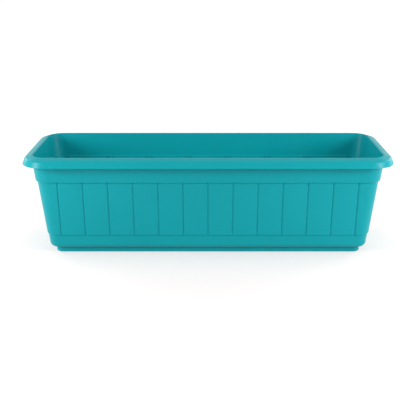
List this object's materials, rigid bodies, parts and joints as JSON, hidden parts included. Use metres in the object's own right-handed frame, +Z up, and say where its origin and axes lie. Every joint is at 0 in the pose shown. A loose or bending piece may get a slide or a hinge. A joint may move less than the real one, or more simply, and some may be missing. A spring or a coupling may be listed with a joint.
{
  "type": "indoor herb planter",
  "caption": "Long plastic window-sill planter with a drooping rim and slatted walls, standing in a shallow drip tray, with a lift-out soil grate and pull-out drain plugs.",
  "frame": {"origin": "on the table, under the middle of the planter", "axes": "+X along the planter's length, +Y from its front to its back, +Z up"},
  "size_m": [0.5, 0.175, 0.142],
  "materials": {
    "trough_plastic": "satin moulded polypropylene, teal all through",
    "tray_plastic": "satin moulded polypropylene, teal all through",
    "grate_plastic": "dull black moulded polypropylene",
    "plug_rubber": "soft black stopper"
  },
  "bodies": {
    "tray": {"drip_tray": "tray_plastic"},
    "trough": {"trough": "trough_plastic"},
    "grate": {"soil_grate": "grate_plastic"},
    "plug_1": {"drain_plug_1": "plug_rubber"},
    "plug_2": {"drain_plug_2": "plug_rubber"},
    "plug_3": {"drain_plug_3": "plug_rubber"},
    "plug_4": {"drain_plug_4": "plug_rubber"},
    "plug_5": {"drain_plug_5": "plug_rubber"},
    "plug_6": {"drain_plug_6": "plug_rubber"}
  },
  "joints": [
    {"name": "trough_lift", "type": "slide", "parent": "tray", "child": "trough", "axis": [0, 0, 1], "range_m": [0, 0.06]},
    {"name": "grate_lift", "type": "slide", "parent": "trough", "child": "grate", "axis": [0, 0, 1], "range_m": [0, 0.15]},
    {"name": "plug_1_pull", "type": "slide", "parent": "trough", "child": "plug_1", "axis": [0, 0, 1], "range_m": [0, 0.009]},
    {"name": "plug_2_pull", "type": "slide", "parent": "trough", "child": "plug_2", "axis": [0, 0, 1], "range_m": [0, 0.009]},
    {"name": "plug_3_pull", "type": "slide", "parent": "trough", "child": "plug_3", "axis": [0, 0, 1], "range_m": [0, 0.009]},
    {"name": "plug_4_pull", "type": "slide", "parent": "trough", "child": "plug_4", "axis": [0, 0, 1], "range_m": [0, 0.009]},
    {"name": "plug_5_pull", "type": "slide", "parent": "trough", "child": "plug_5", "axis": [0, 0, 1], "range_m": [0, 0.009]},
    {"name": "plug_6_pull", "type": "slide", "parent": "trough", "child": "plug_6", "axis": [0, 0, 1], "range_m": [0, 0.009]}
  ]
}
